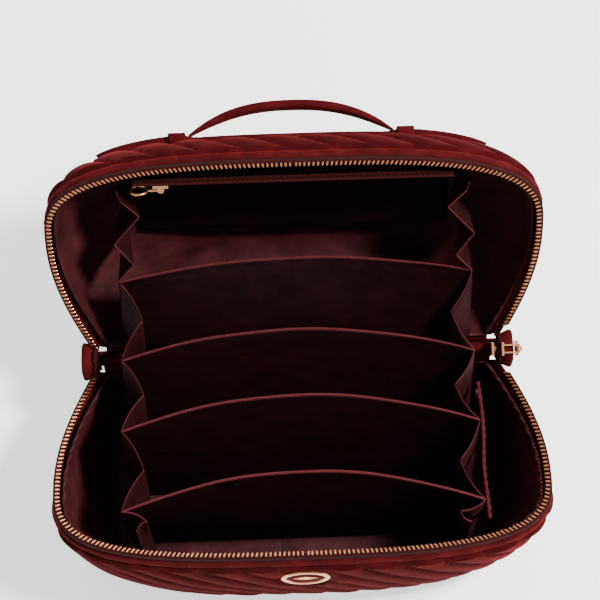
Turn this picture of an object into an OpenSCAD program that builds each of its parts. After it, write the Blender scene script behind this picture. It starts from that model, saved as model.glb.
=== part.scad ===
// Zip-around quilted makeup bag, standing open: a tub with four cloth dividers and a domed lid that
// turns on a sewn spine along the tub's back top edge. Millimetres, +Z up, +X along the bag's width.
// The origin is the middle of the base, on the surface the bag stands on. The front faces -Y.

/* [Tub] */
// Half width of the base
base_hw = 121; // [110:1:132]
// Depth of the base, front to back
base_d = 130; // [120:1:142]
// Height of the spine above the floor
hinge_z = 62; // [56:1:70]
// Half width of the mouth at the spine
hinge_hw = 120; // [110:1:130]
// Half width of the mouth at its widest
rim_hw = 145; // [134:1:155]
// Depth of the mouth from the spine to the front, along the mouth plane
rim_depth = 137; // [128:1:147]
// Rise of the closed mouth plane towards the front, in degrees
mouth_tilt = 13; // [8:1:18]
// How far the walls bulge outwards halfway up
wall_bulge = 3; // [0:0.5:5]
// Thickness of a quilted wall
wall_t = 4; // [3:0.5:5]
// Thickness of the lining
lining_t = 1.2; // [0.8:0.1:2]
// Thickness of the stiff board in the base
board_t = 2; // [1.5:0.1:3]

/* [Lid] */
// Angle through which the lid opens, in degrees
open_angle = 110; // [95:1:115]
// Height of the dome above the mouth plane at the front
lid_h_front = 62; // [54:1:70]
// Height of the dome above the mouth plane at the back
lid_h_back = 74; // [64:1:82]

/* [Zip] */
// Height of the plain velvet band below the mouth
band_h = 12; // [10:0.5:15]
// Height of the zip tape
tape_h = 4.8; // [4:0.1:6]
// Radius of the tab at each end of the zip
tab_r = 11; // [8:0.5:12]

/* [Handle] */
// Half length of the strap that carries the handle
strap_hl = 108; // [95:1:112]
// Width of the strap
strap_w = 14; // [10:0.5:16]
// Distance of each keeper loop from the middle
keeper_x = 67; // [58:1:75]
// Rise of the handle's arch
arch_h = 17; // [14:0.5:26]

/* [Dividers] */
// Distance from the base's half width to the ends of the dividers
divider_clear = 17; // [15:1:31]
// Height of the three front dividers
divider_h = 88; // [75:1:92]
// Height of the divider on the spine
rear_divider_h = 58; // [45:1:60]
// How far the dividers' top edges bow backwards
divider_bow = 20; // [10:0.5:21]
// Distance between dividers at the floor
divider_pitch = 30; // [26:0.5:31]

/* [Hidden] */

// Colours
velvet = "#7d0d18";
satin = "#4a0c14";
tape_red = "#8a2f2a";
rose_gold = "#c98a5e";
gold = "#d9b36a";

gap = 0.3;                    // running clearance between pieces that move past each other
seam = 0.2;                   // clearance between pieces sewn side by side
divider_hw = min(base_hw, hinge_hw + 1) - divider_clear;
corner_seam = 0.35 * wall_t;            // the rear panel stays clear of the facets of the side panels
hinge_y = base_d / 2;         // the spine's axis runs along X at (hinge_y, hinge_z)
spine_r = 2.2;
base_t = 3;
corner_pow = 3.2;             // exponent of the rounded front corners
dome_pow = 2.7;               // exponent of the lid's dome
arm_share = 0.375;            // share of the outline's half that is the side arm
rim_straight = 0.62 * rim_depth;
base_straight = 0.62 * base_d;
dome_c = 0.49 * rim_depth;    // the dome's middle, measured from the spine along the mouth
steps = 32;                   // points round the mouth, less one
left_seam = 11 / steps;       // the wall seams lie in the middle of the front corners
right_seam = 1 - left_seam;
seam_k = 0.0012;
zip_start_r = 17;             // the slider waits between the spine and the right end of the teeth
band_start_r = 5;
zip_k0 = arm_share * band_start_r / rim_straight / 2;
zip_k1 = 1 - arm_share * zip_start_r / rim_straight / 2;
band_k1 = 1 - zip_k0;
lining_in = wall_t + 0.8;     // clears the wall's facets
lining_top = 6;               // depth of the lining's sewn edge below the mouth
skirt_q = 0.86;               // the skirt's height as a share of the dome's
board_z = base_t + seam;
floor_z = board_z + board_t + seam;
pivot_z = floor_z + lining_t + gap + 0.5;
cloth_t = 2;                  // double cloth of a divider

// ---------------------------------------------------------------- outlines and surfaces

// Outline of the mouth or the base: [x, distance from the spine]. k runs from 0 at the left end of
// the spine, round the front, to 1 at its right end.
function outline(k, half0, half1, depth, straight, back = 0) =
    let(side = k < 0.5 ? -1 : 1, q = 1 - abs(2 * k - 1))
    q <= arm_share
        ? let(f = q / arm_share) [side * (half0 + (half1 - half0) * sin(90 * f)), back + (straight - back) * f]
        : let(t = 90 * (q - arm_share) / (1 - arm_share))
          [side * half1 * pow(cos(t), 2 / corner_pow), straight + (depth - straight) * pow(sin(t), 2 / corner_pow)];

// A point of the closed bag from its place in the mouth plane and its height above that plane
function mouth(p, d) = [p.x, hinge_y - p.y * cos(mouth_tilt) + d * sin(mouth_tilt),
    hinge_z + p.y * sin(mouth_tilt) + d * cos(mouth_tilt)];

function rim_outline(k, inset, back = 0) =
    outline(k, hinge_hw - inset, rim_hw - inset, rim_depth - inset, rim_straight, back);

function rim_pt(k, inset, d) = mouth(rim_outline(k, inset), d);

// A point of the tub's wall: w runs from 0 at the base to 1 at the height "top" below the mouth
function tub_pt(k, w, inset, z0 = 0, top = band_h, back = 0) =
    let(g = wall_bulge * sin(180 * w) - inset,
        low = outline(k, base_hw + g, base_hw + g, base_d + g, base_straight, back),
        high = rim_outline(k, -g, back))
    (1 - w) * [low.x, hinge_y - low.y, z0] + w * mouth(high, -top);

// A point of the closed lid's dome: q is the share of the dome's height
function dome_scale(q) = pow(1 - pow(q, dome_pow), 1 / dome_pow);
function dome_h(r) = lid_h_back + (lid_h_front - lid_h_back) * r / rim_depth;
function dome_pt(p, q, inset) =
    let(s = dome_scale(q), r = dome_c + s * (p.y - dome_c))
    mouth([s * p.x, r], q * (dome_h(r) - inset));
function lid_pt(k, q, inset, back = 0) = dome_pt(rim_outline(k, inset, back), q, inset);

// ---------------------------------------------------------------- builders

// A solid through closed rings of equal point counts, capped at both ends
module rings_solid(rings) {
    n = len(rings[0]);
    m = len(rings);
    points = [for (ring = rings) each ring];
    sides = [for (i = [0:m - 2], j = [0:n - 1])
        let(j2 = (j + 1) % n) [i * n + j, (i + 1) * n + j, (i + 1) * n + j2, i * n + j2]];
    caps = [[for (j = [0:n - 1]) j], [for (j = [n - 1:-1:0]) (m - 1) * n + j]];
    polyhedron(points, concat(sides, caps), convexity = 8);
}

// A closed sheet between an outer and an inner surface, each a function of u and v
module sheet_solid(outer, inner, us, vs) {
    n = len(vs);
    m = len(us);
    total = n * m;
    points = concat([for (u = us, v = vs) outer(u, v)], [for (u = us, v = vs) inner(u, v)]);
    cells = [for (i = [0:m - 2], j = [0:n - 2]) i * n + j];
    faces = concat(
        [for (a = cells) [a, a + 1, a + n + 1, a + n]],
        [for (a = cells) let(b = a + total) [b, b + n, b + n + 1, b + 1]],
        [for (i = [0:m - 2]) let(a = i * n, b = a + total) [a, a + n, b + n, b]],
        [for (i = [0:m - 2]) let(a = i * n + n - 1, b = a + total) [a + n, a, b, b + n]],
        [for (j = [0:n - 2]) let(a = j, b = a + total) [a + 1, a, b, b + 1]],
        [for (j = [0:n - 2]) let(a = (m - 1) * n + j, b = a + total) [a, a + 1, b + 1, b]]);
    polyhedron(points, faces, convexity = 8);
}

function span(a, b, n) = [for (i = [0:n]) a + (b - a) * i / n];

// Sweeps a profile of [inset, height] pairs round the mouth between two places
module rim_sweep(profile, k0, k1) {
    rings_solid([for (k = span(k0, k1, steps)) [for (p = profile) rim_pt(k, p.x, p.y)]]);
}

// Turns pieces of the closed lid to the open position
module opened(angle = open_angle) {
    translate([0, hinge_y, hinge_z]) rotate([-angle, 0, 0]) translate([0, -hinge_y, -hinge_z]) children();
}

// ---------------------------------------------------------------- tub

base_ks = span(0, 1, steps);
function base_ring(inset) = [for (k = base_ks)
    let(p = outline(k, base_hw - inset, base_hw - inset, base_d - inset, base_straight, inset))
    [p.x, hinge_y - p.y]];

module base_panel() color(velvet) linear_extrude(base_t) polygon(base_ring(lining_in));

module base_board() color("dimgray")
    translate([0, 0, board_z]) linear_extrude(board_t) polygon(base_ring(lining_in + 1));

module tub_wall(k0, k1, n) color(velvet)
    sheet_solid(function (k, w) tub_pt(k, w, 0), function (k, w) tub_pt(k, w, wall_t),
        span(k0, k1, n), span(0, 1, 6));

module tub_left_panel() tub_wall(0, left_seam - seam_k, 11);
module tub_front_panel() tub_wall(left_seam + seam_k, right_seam - seam_k, 12);
module tub_right_panel() tub_wall(right_seam + seam_k, 1, 11);

back_panel_h = hinge_z - spine_r - gap;
module tub_back_panel() color(velvet)
    translate([0, hinge_y, 0]) rotate([90, 0, 0]) linear_extrude(wall_t)
        let(low = base_hw - wall_t - seam, high = hinge_hw - wall_t - seam)
            polygon([[-low, 0], [low, 0], [high, back_panel_h], [-high, back_panel_h]]);

function lining_ring(w, inset, z0) = [for (k = base_ks) tub_pt(k, w, inset, z0, lining_top, inset)];
lining_ws = span(0, 1, 6);
module tub_lining() {
    inner = lining_in + lining_t;
    color(satin) rings_solid(concat(
        [for (w = lining_ws) lining_ring(w, lining_in, floor_z)],
        [for (i = [6:-1:0]) lining_ring(lining_ws[i], inner, floor_z + lining_t)]));
}

// ---------------------------------------------------------------- zip round the mouth

band_t = 2.5;
module tub_band() color(velvet)
    rim_sweep([[0, -band_h + seam], [band_t, -band_h + seam], [band_t, -tape_h - seam], [0, -tape_h - seam]],
        zip_k0, band_k1);

tape_low = 1.3;               // insets of the tape's sewn edge and its free edge
tape_high = 0.4;
tape_top = 0.6;
tape_t = 0.9;
tooth_in = 4.5;
tooth_t = 1.2;
tape_profile = [[tape_low, -tape_h], [tape_low + tape_t, -tape_h], [tape_high + tape_t, -tape_top],
    [tape_high, -tape_top]];
module tub_zip_tape() color(tape_red) rim_sweep(tape_profile, zip_k0, zip_k1);

tooth_out = tape_high + tape_t + 2 * seam;
tooth_profile = [[tooth_out, -gap - tooth_t], [tooth_in, -gap - tooth_t], [tooth_in, -gap], [tooth_out, -gap]];
module tub_zip_teeth() color(rose_gold) rim_sweep(tooth_profile, zip_k0, zip_k1);

function above(profile) = [for (i = [len(profile) - 1:-1:0]) [profile[i].x, -profile[i].y]];
module lid_zip_tape() opened() color(tape_red) rim_sweep(above(tape_profile), zip_k0, zip_k1);
module lid_zip_teeth() opened() color(rose_gold) rim_sweep(above(tooth_profile), zip_k0, zip_k1);

module spine() color(velvet) translate([0, hinge_y, hinge_z]) rotate([0, 90, 0])
    cylinder(r = spine_r, h = 2 * (hinge_hw - wall_t - 3), center = true, $fn = 32);

// The tab at a zip end is a disc about the spine's axis, so neither half of the bag can reach it
tab_x = hinge_hw + 6.4;
tab_t = 3.4;
neck_r = 2.4;
neck_x = hinge_hw - wall_t - 2.5;
module zip_end_tab(side) color(velvet) translate([0, hinge_y, hinge_z]) rotate([0, 90 * side, 0]) {
    translate([0, 0, tab_x]) cylinder(r = tab_r, h = tab_t, $fn = 48);
    translate([0, 0, neck_x]) cylinder(r = neck_r, h = tab_x - neck_x + 0.5, $fn = 32);
}
module zip_end_tab_left() zip_end_tab(-1);
module zip_end_tab_right() zip_end_tab(1);

// The slider waits at the right end of the zip, halfway between the two rows of teeth
slider_r = 4.2;
slider_len = 10.5;
slider_h = 8;
plate_t = 1.3;
plate_gap = 3;
lug_r = slider_r + slider_len - 1.4;
barrel_r = 2.4;
barrel_h = 3;
ear_t = 0.9;
pull_pin_r = 0.8;
pull_x = tab_x + tab_t + barrel_r + gap;
module mouth_frame() translate([0, hinge_y, hinge_z]) rotate([-mouth_tilt, 0, 0]) children();
module zip_slider() opened(open_angle / 2) mouth_frame() color(gold) {
    for (x = [-plate_gap, plate_gap])
        translate([hinge_hw + x - plate_t / 2, -slider_r - slider_len, -slider_h / 2])
            cube([plate_t, slider_len, slider_h]);
    translate([hinge_hw - plate_gap, -slider_r - 2.5, -1.5]) cube([2 * plate_gap, 2.5, 3]);
    for (side = [-1, 1])
        translate([hinge_hw + plate_gap, -lug_r - 0.9, side * (barrel_h / 2 + gap + ear_t / 2) - ear_t / 2])
            cube([pull_x - hinge_hw - plate_gap + 1, 1.8, ear_t]);
    translate([pull_x, -lug_r, 0]) cylinder(r = pull_pin_r, h = barrel_h + 2 * gap + 2 * ear_t, center = true, $fn = 24);
}
// The pull hangs on the slider's lug and points back past the tab
pull_l = 24;
pull_w = 9;
pull_t = 1.4;
module zip_pull() opened(open_angle / 2) mouth_frame() translate([pull_x, -lug_r, 0]) color(gold) {
    difference() {
        cylinder(r = barrel_r, h = barrel_h, center = true, $fn = 32);
        cylinder(r = pull_pin_r + gap / 4, h = barrel_h + 1, center = true, $fn = 32);
    }
    translate([-pull_t / 2, barrel_r - 0.6, -barrel_h / 2]) cube([pull_t, 5, barrel_h]);
    translate([0, 6 + pull_l / 2, 0]) rotate([0, 90, 0]) intersection() {
        cylinder(r = pull_l / 2, h = pull_t, center = true, $fn = 48);
        cube([pull_w, pull_l + 1, pull_t + 1], center = true);
    }
}

// ---------------------------------------------------------------- metal trim and dividers

emblem_w = 29;
emblem_h = 26;
emblem_t = 1.4;
emblem_z = 62;
wall_top = tub_pt(0.5, 1, 0).z;
function front_at(z) = tub_pt(0.5, z / wall_top, 0).y;
emblem_y = front_at(emblem_z) - 2 * seam;
emblem_lean = atan((front_at(emblem_z - emblem_h / 2) - front_at(emblem_z + emblem_h / 2)) / emblem_h);
module emblem_plaque() color(rose_gold) translate([0, emblem_y, emblem_z]) rotate([90 + emblem_lean, 0, 0])
    linear_extrude(emblem_t) intersection_for(side = [-1, 1])
        translate([0, side * (emblem_w * emblem_w / emblem_h - emblem_h) / 4])
            circle(r = (emblem_w * emblem_w / emblem_h + emblem_h) / 4, $fn = 96);

// A divider leans back by "lean" about its foot and its top edge bows backwards
module divider(y, z, lean, h0, h1) translate([0, y, z]) rotate([-lean, 0, 0])
    sheet_solid(
        function (x, h) [x, divider_bow * pow(h / h1, 2) * (1 - pow(x / divider_hw, 2)) - cloth_t / 2, h],
        function (x, h) [x, divider_bow * pow(h / h1, 2) * (1 - pow(x / divider_hw, 2)) + cloth_t / 2, h],
        span(-divider_hw, divider_hw, 10), span(h0, h1, 6));

third_y = hinge_y - 38;
second_y = third_y - divider_pitch;
front_y = second_y - divider_pitch;
third_lean = 18;
second_lean = 8;
rear_lean = open_angle - 90 + mouth_tilt;
rear_foot = lining_in + lining_t + 5;   // starts clear of the lid's rear wall as the lid closes
module divider_front() color(satin) divider(front_y, pivot_z, -4, 0, divider_h);
module divider_second() color(satin) divider(second_y, pivot_z, second_lean, 0, divider_h);
module divider_third() color(satin) divider(third_y, pivot_z, third_lean, 0, divider_h);
module divider_rear() color(satin) divider(hinge_y, hinge_z, rear_lean, rear_foot, rear_divider_h);

// Side gussets: one inward fold of lining between each pair of dividers
fold_d = 12;
fold_w = 8;
fold_h = 66;
fold_ys = [second_y - divider_pitch / 2 - 2, third_y - divider_pitch / 2 + 2];
module gusset(side) color(satin) for (y = fold_ys)
    translate([side * (divider_hw + 1.5), y, pivot_z]) linear_extrude(fold_h)
        polygon([[0, -fold_w / 2], [0, fold_w / 2], [-side * fold_d, 0]]);
module gusset_left() gusset(-1);
module gusset_right() gusset(1);

strip_x = divider_hw + 2.6;
strip_t = 1.6;
strip_l = 84;
strip_h = 7;
strip_z = pivot_z + fold_h + 0.5;
module elastic_strip() color("#a83c48")
    translate([strip_x, -strip_l / 2 - 2, strip_z - strip_h]) cube([strip_t, strip_l, strip_h]);
snap_r = 4.5;
module snap_button() color("#1c1518")
    translate([strip_x - 1.7, strip_l / 2 - 2 - snap_r - 1, strip_z - strip_h / 2]) rotate([0, 90, 0])
        cylinder(r = snap_r, h = 1.5, $fn = 40);

// ---------------------------------------------------------------- lid

band_q = band_h / lid_h_front;
function skirt_qs(n) = [for (i = [0:n]) let(t = i / n) band_q + (skirt_q - band_q) * sin(90 * t)];
module lid_wall(k0, k1, n) opened() color(velvet)
    sheet_solid(function (k, q) lid_pt(k, q, 0), function (k, q) lid_pt(k, q, wall_t),
        span(k0, k1, n), skirt_qs(6));
module lid_left_panel() lid_wall(0, left_seam - seam_k, 11);
module lid_front_panel() lid_wall(left_seam + seam_k, right_seam - seam_k, 12);
module lid_right_panel() lid_wall(right_seam + seam_k, 1, 11);

// The rear panel fills the back between the side panels; across runs from -1 to 1
function rear_pt(across, q, inset) =
    dome_pt([across * (hinge_hw - (wall_t + corner_seam) / dome_scale(q)), inset], q, inset);
rear_q0 = (spine_r + gap + 1) / lid_h_back;
module lid_rear_panel() opened() color(velvet)
    sheet_solid(function (a, q) rear_pt(-a, q, 0), function (a, q) rear_pt(-a, q, wall_t),
        span(-1, 1, 8), [for (i = [0:6]) rear_q0 + (skirt_q - rear_q0) * sin(15 * i)]);

crown_gap = 0.004;
crown_qs = [for (t = [0, 0.3, 0.55, 0.78, 0.95]) skirt_q + crown_gap + (1 - skirt_q - crown_gap) * t];
function crown_ring(q, inset) = [for (k = base_ks) lid_pt(k, q, inset, inset)];
module lid_top_panel() opened() color(velvet) rings_solid(concat(
    [for (i = [4:-1:0]) crown_ring(crown_qs[i], wall_t)],
    [for (q = crown_qs) crown_ring(q, 0)]));

lid_lining_qs = [0.1, 0.3, 0.55, 0.75, 0.88, 0.96, 0.99];
module lid_lining() {
    inner = lining_in + lining_t;
    opened() color(satin) rings_solid(concat(
        [for (i = [6:-1:0]) crown_ring(lid_lining_qs[i], inner)],
        [for (q = lid_lining_qs) crown_ring(q, lining_in)]));
}

tape_q = (tape_h + seam) / lid_h_front;
band_top_q = band_q - seam / lid_h_front;
module lid_band() opened() color(velvet)
    sheet_solid(function (k, q) lid_pt(k, q, 0), function (k, q) lid_pt(k, q, band_t),
        span(zip_k0, band_k1, steps), [tape_q, band_top_q]);

// ---------------------------------------------------------------- handle on the lid's shoulder

strap_q = 0.7;
shoulder_s = dome_scale(strap_q);
shoulder_r = dome_c + shoulder_s * (rim_depth - dome_c);
shoulder_h = strap_q * dome_h(shoulder_r);
// Angle of the dome's surface normal there, measured from the mouth plane
shoulder_a = atan2(pow(strap_q, dome_pow - 1) / dome_h(shoulder_r),
    pow(shoulder_s, dome_pow - 1) / (rim_depth - dome_c));
// Place along the rim whose dome point lies at x
function k_at(x) = let(t = acos(pow(abs(x) / (shoulder_s * rim_hw), corner_pow / 2)),
    k = (arm_share + (1 - arm_share) * t / 90) / 2) x < 0 ? k : 1 - k;
strap_dq = 0.5 * strap_w * cos(shoulder_a) / dome_h(shoulder_r);
strap_t = 1.3;
module shoulder_strap(x0, x1, lift, width, n) opened()
    rings_solid([for (x = span(x0, x1, n)) let(k = k_at(x), w = strap_dq * width)
        [lid_pt(k, strap_q - w, -lift), lid_pt(k, strap_q + w, -lift),
         lid_pt(k, strap_q + w, -lift - strap_t), lid_pt(k, strap_q - w, -lift - strap_t)]]);
module strap_base() color(velvet) shoulder_strap(-strap_hl, strap_hl, gap + 0.3, 1, 24);

handle_lift = gap + 0.3 + strap_t + 0.5;
foot_x = keeper_x - 6.6;
module handle_end_left() color(velvet) shoulder_strap(2 - strap_hl, -foot_x - 2, handle_lift, 0.8, 8);
module handle_end_right() color(velvet) shoulder_strap(foot_x + 2, strap_hl - 2, handle_lift, 0.8, 8);

// Local frame on the shoulder: X across the bag, Y up the dome, Z outwards
module on_shoulder(x) opened() translate(lid_pt(k_at(x), strap_q, 0))
    rotate([90 - shoulder_a - mouth_tilt, 0, 0]) children();

keeper_w = 9;
keeper_t = 1.2;
keeper_h = 5.6;
keeper_in = strap_w + 3.4;
module keeper(x) color(velvet) on_shoulder(x) difference() {
    translate([-keeper_w / 2, -keeper_in / 2 - keeper_t, gap])
        cube([keeper_w, keeper_in + 2 * keeper_t, keeper_h + keeper_t - gap]);
    translate([-keeper_w, -keeper_in / 2, -1]) cube([2 * keeper_w, keeper_in, keeper_h + 1]);
}
module keeper_left() keeper(-keeper_x);
module keeper_right() keeper(keeper_x);

// The arch is thin and narrow at its feet, so that it can swing clear of the strap
foot_lift = 4.2;
arch_t = 5.5;
arch_w = 11;
function arch_section(x) = let(u = abs(x) / foot_x, rise = 1 - pow(u, 2.4), body = 1 - pow(u, 5),
    z = foot_lift + arch_h * rise, w = 2 + (arch_w - 2) * body, t = 1.6 + (arch_t - 1.6) * body)
    [[x, -w / 2, z - t / 3], [x, -w / 3, z - t / 2], [x, w / 3, z - t / 2], [x, w / 2, z - t / 3],
     [x, w / 2, z + t / 3], [x, w / 3, z + t / 2], [x, -w / 3, z + t / 2], [x, -w / 2, z + t / 3]];
module handle_arch() color(velvet) on_shoulder(foot_x)
    translate([-foot_x, 0, 0]) rings_solid([for (x = span(-foot_x, foot_x, 24)) arch_section(x)]);

// ---------------------------------------------------------------- pocket inside the lid

pocket_hw = 92;
pocket_front = rim_depth - 15;
pocket_back = 62;
pocket_deep = 49;
pocket_t = 1;
function pocket_pt(x, t, grow) = mouth([x, pocket_back + (pocket_front - pocket_back + grow)
    * pow(cos(t), 2 / dome_pow)], (pocket_deep + grow) * pow(sin(t), 2 / dome_pow));
module lid_pocket() opened() color(satin)
    sheet_solid(function (x, t) pocket_pt(x, t, pocket_t), function (x, t) pocket_pt(x, t, 0),
        span(-pocket_hw, pocket_hw, 6), span(14, 90, 10));

pocket_zip_h = 7;
pocket_zip_d = 1.5;
module pocket_zip() opened() mouth_frame() color(tape_red)
    translate([-pocket_hw, -pocket_front - pocket_t, pocket_zip_d])
        cube([2 * pocket_hw, pocket_t, pocket_zip_h]);

pocket_x = -76;
pocket_travel = 150;
pocket_slider_l = 9;
pocket_slider_t = 2;
pin_r = 0.9;
module pocket_frame() opened() mouth_frame()
    translate([pocket_x, -pocket_front + gap, pocket_zip_d + pocket_zip_h / 2]) children();
module pocket_slider() color(gold) pocket_frame() {
    translate([-pocket_slider_l / 2, 0, -3]) cube([pocket_slider_l, pocket_slider_t, 6]);
    translate([0, pocket_slider_t + 2.2, 0]) cylinder(r = pin_r, h = 5, center = true, $fn = 24);
    for (z = [-2.5, 1.7]) translate([-1, pocket_slider_t - 0.1, z]) cube([2, 2.4, 0.8]);
}
ring_r = 5;
module pocket_pull() color(gold) pocket_frame() translate([0, pocket_slider_t + 2.2, 0]) {
    difference() {
        cylinder(r = 2, h = 2.6, center = true, $fn = 32);
        cylinder(r = pin_r + gap / 2, h = 3, center = true, $fn = 32);
    }
    translate([-8, -0.6, -1.2]) cube([6.4, 1.2, 2.4]);
    translate([-7.6 - ring_r, 0, 0]) rotate([90, 0, 0]) rotate_extrude($fn = 40)
        translate([ring_r, 0]) circle(r = 0.8, $fn = 16);
}

base_panel();
base_board();
tub_front_panel();
tub_left_panel();
tub_right_panel();
tub_back_panel();
tub_lining();
tub_band();
tub_zip_tape();
tub_zip_teeth();
spine();
zip_end_tab_left();
zip_end_tab_right();
emblem_plaque();
divider_front();
divider_second();
divider_third();
divider_rear();
gusset_left();
gusset_right();
elastic_strip();
snap_button();
lid_front_panel();
lid_left_panel();
lid_right_panel();
lid_rear_panel();
lid_top_panel();
lid_lining();
lid_band();
lid_zip_tape();
lid_zip_teeth();
strap_base();
handle_end_left();
handle_end_right();
keeper_left();
keeper_right();
handle_arch();
lid_pocket();
pocket_zip();
pocket_slider();
pocket_pull();
zip_slider();
zip_pull();
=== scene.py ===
# The looks of the quilted makeup bag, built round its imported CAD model. Sizes below are millimetres,
# as in the CAD model, and the mesh helpers turn them into metres.
import math
import bpy
import numpy as np
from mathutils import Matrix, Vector


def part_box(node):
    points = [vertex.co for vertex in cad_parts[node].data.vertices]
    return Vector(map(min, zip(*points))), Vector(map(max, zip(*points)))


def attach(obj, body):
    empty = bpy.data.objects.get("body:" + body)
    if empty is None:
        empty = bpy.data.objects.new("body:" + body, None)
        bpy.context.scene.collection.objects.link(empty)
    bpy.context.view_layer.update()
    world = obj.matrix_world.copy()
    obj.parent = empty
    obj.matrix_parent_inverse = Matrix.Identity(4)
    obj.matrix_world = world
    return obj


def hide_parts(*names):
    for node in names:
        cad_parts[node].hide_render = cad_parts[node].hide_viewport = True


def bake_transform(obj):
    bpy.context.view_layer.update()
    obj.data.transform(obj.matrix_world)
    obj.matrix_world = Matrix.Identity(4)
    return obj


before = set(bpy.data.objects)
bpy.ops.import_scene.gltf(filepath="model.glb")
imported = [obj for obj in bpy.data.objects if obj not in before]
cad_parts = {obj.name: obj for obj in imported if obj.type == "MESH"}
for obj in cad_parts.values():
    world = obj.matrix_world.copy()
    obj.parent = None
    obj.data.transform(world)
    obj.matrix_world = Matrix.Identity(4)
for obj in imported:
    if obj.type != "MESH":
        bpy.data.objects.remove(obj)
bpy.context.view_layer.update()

# ---------------------------------------------------------------- camera and studio

BASE_HW, BASE_D, HINGE_Z = 121, 130, 62
HINGE_HW, RIM_HW, RIM_DEPTH = 120, 145, 137
HINGE_Y = BASE_D / 2
TILT, OPEN = math.radians(13), math.radians(110)
MM = 0.001


def camera():
    azimuth, elevation = math.radians(-2.0), math.radians(68)
    toward = Vector((math.sin(azimuth) * math.cos(elevation), -math.cos(azimuth) * math.cos(elevation),
                     math.sin(elevation)))
    right = Vector((math.cos(azimuth), math.sin(azimuth), 0))
    up = toward.cross(right)
    aim = Vector((0, HINGE_Y, HINGE_Z)) + up * 33.3 + right * 1.5
    data = bpy.data.cameras.new("camera")
    data.lens, data.sensor_width = 118.9, 36
    data.clip_start, data.clip_end = 0.05, 20
    cam = bpy.data.objects.new("camera", data)
    bpy.context.scene.collection.objects.link(cam)
    cam.location = (aim + toward * 1200) * MM
    cam.rotation_euler = (-toward).to_track_quat("-Z", "Y").to_euler()
    bpy.context.scene.camera = cam


def area_light(name, place, size, power, colour=(1, 1, 1)):
    data = bpy.data.lights.new(name, "AREA")
    data.shape, data.size, data.energy, data.color = "DISK", size, power, colour
    lamp = bpy.data.objects.new(name, data)
    bpy.context.scene.collection.objects.link(lamp)
    lamp.location = place
    lamp.rotation_euler = (Vector((0, 0.04, 0.08)) - Vector(place)).to_track_quat("-Z", "Y").to_euler()


def studio():
    bpy.ops.mesh.primitive_plane_add(size=6)
    floor = bpy.context.object
    floor.name = "floor"
    mat, shader = new_material("floor", (0.97, 0.97, 0.97), 0.7)
    shader.inputs["Specular IOR Level"].default_value = 0.1
    shader.inputs["Emission Color"].default_value = (1, 1, 1, 1)
    shader.inputs["Emission Strength"].default_value = 1.1
    floor.data.materials.append(mat)
    world = bpy.data.worlds.new("world")
    world.use_nodes = True
    world.node_tree.nodes["Background"].inputs[0].default_value = (1, 1, 1, 1)
    world.node_tree.nodes["Background"].inputs[1].default_value = 0.5
    bpy.context.scene.world = world
    area_light("key", (0.85, 0.0, 1.35), 0.30, 58, (1, 0.95, 0.92))
    area_light("fill", (-0.5, -1.0, 0.9), 0.9, 2)
    area_light("back", (-0.2, 1.3, 1.0), 0.6, 9)


# ---------------------------------------------------------------- materials

def new_material(name, colour, roughness):
    mat = bpy.data.materials.new(name)
    mat.use_nodes = True
    shader = mat.node_tree.nodes["Principled BSDF"]
    shader.inputs["Base Color"].default_value = (*colour, 1)
    shader.inputs["Roughness"].default_value = roughness
    return mat, shader


def add_node(mat, kind, **sockets):
    node = mat.node_tree.nodes.new(kind)
    for key, value in sockets.items():
        node.inputs[key.replace("_", " ")].default_value = value
    return node


def link(mat, a, b):
    mat.node_tree.links.new(a, b)


def coords(mat, stretch=(1, 1, 1)):
    place = add_node(mat, "ShaderNodeTexCoord")
    mapping = add_node(mat, "ShaderNodeMapping", Scale=stretch)
    link(mat, place.outputs["Object"], mapping.inputs["Vector"])
    return mapping.outputs["Vector"]


def noise(mat, vector, scale, detail=3.0):
    node = add_node(mat, "ShaderNodeTexNoise", Scale=scale, Detail=detail)
    link(mat, vector, node.inputs["Vector"])
    return node.outputs["Fac"]


def colour_ramp(mat, factor, stops):
    node = mat.node_tree.nodes.new("ShaderNodeValToRGB")
    ramp = node.color_ramp
    ramp.elements[0].position, ramp.elements[0].color = stops[0][0], (*stops[0][1], 1)
    ramp.elements[1].position, ramp.elements[1].color = stops[-1][0], (*stops[-1][1], 1)
    for place, colour in stops[1:-1]:
        ramp.elements.new(place).color = (*colour, 1)
    link(mat, factor, node.inputs["Fac"])
    return node.outputs["Color"]


def bump(mat, shader, height, strength, distance):
    node = add_node(mat, "ShaderNodeBump", Strength=strength, Distance=distance)
    link(mat, height, node.inputs["Height"])
    link(mat, node.outputs["Normal"], shader.inputs["Normal"])


def velvet(name, dark, mid, light):
    """Crushed pile: patchy colour, fine fibre bump and a red sheen where the pile is seen edge on."""
    mat, shader = new_material(name, mid, 0.9)
    where = coords(mat)
    patches = noise(mat, where, 90, 5)
    link(mat, colour_ramp(mat, patches, [(0.3, dark), (0.52, mid), (0.74, light)]), shader.inputs["Base Color"])
    shader.inputs["Sheen Weight"].default_value = 0.16
    shader.inputs["Sheen Roughness"].default_value = 0.35
    shader.inputs["Sheen Tint"].default_value = (0.95, 0.05, 0.06, 1)
    shader.inputs["Specular IOR Level"].default_value = 0.03
    bump(mat, shader, noise(mat, where, 2600, 2), 0.35, 0.0004)
    return mat


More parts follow.
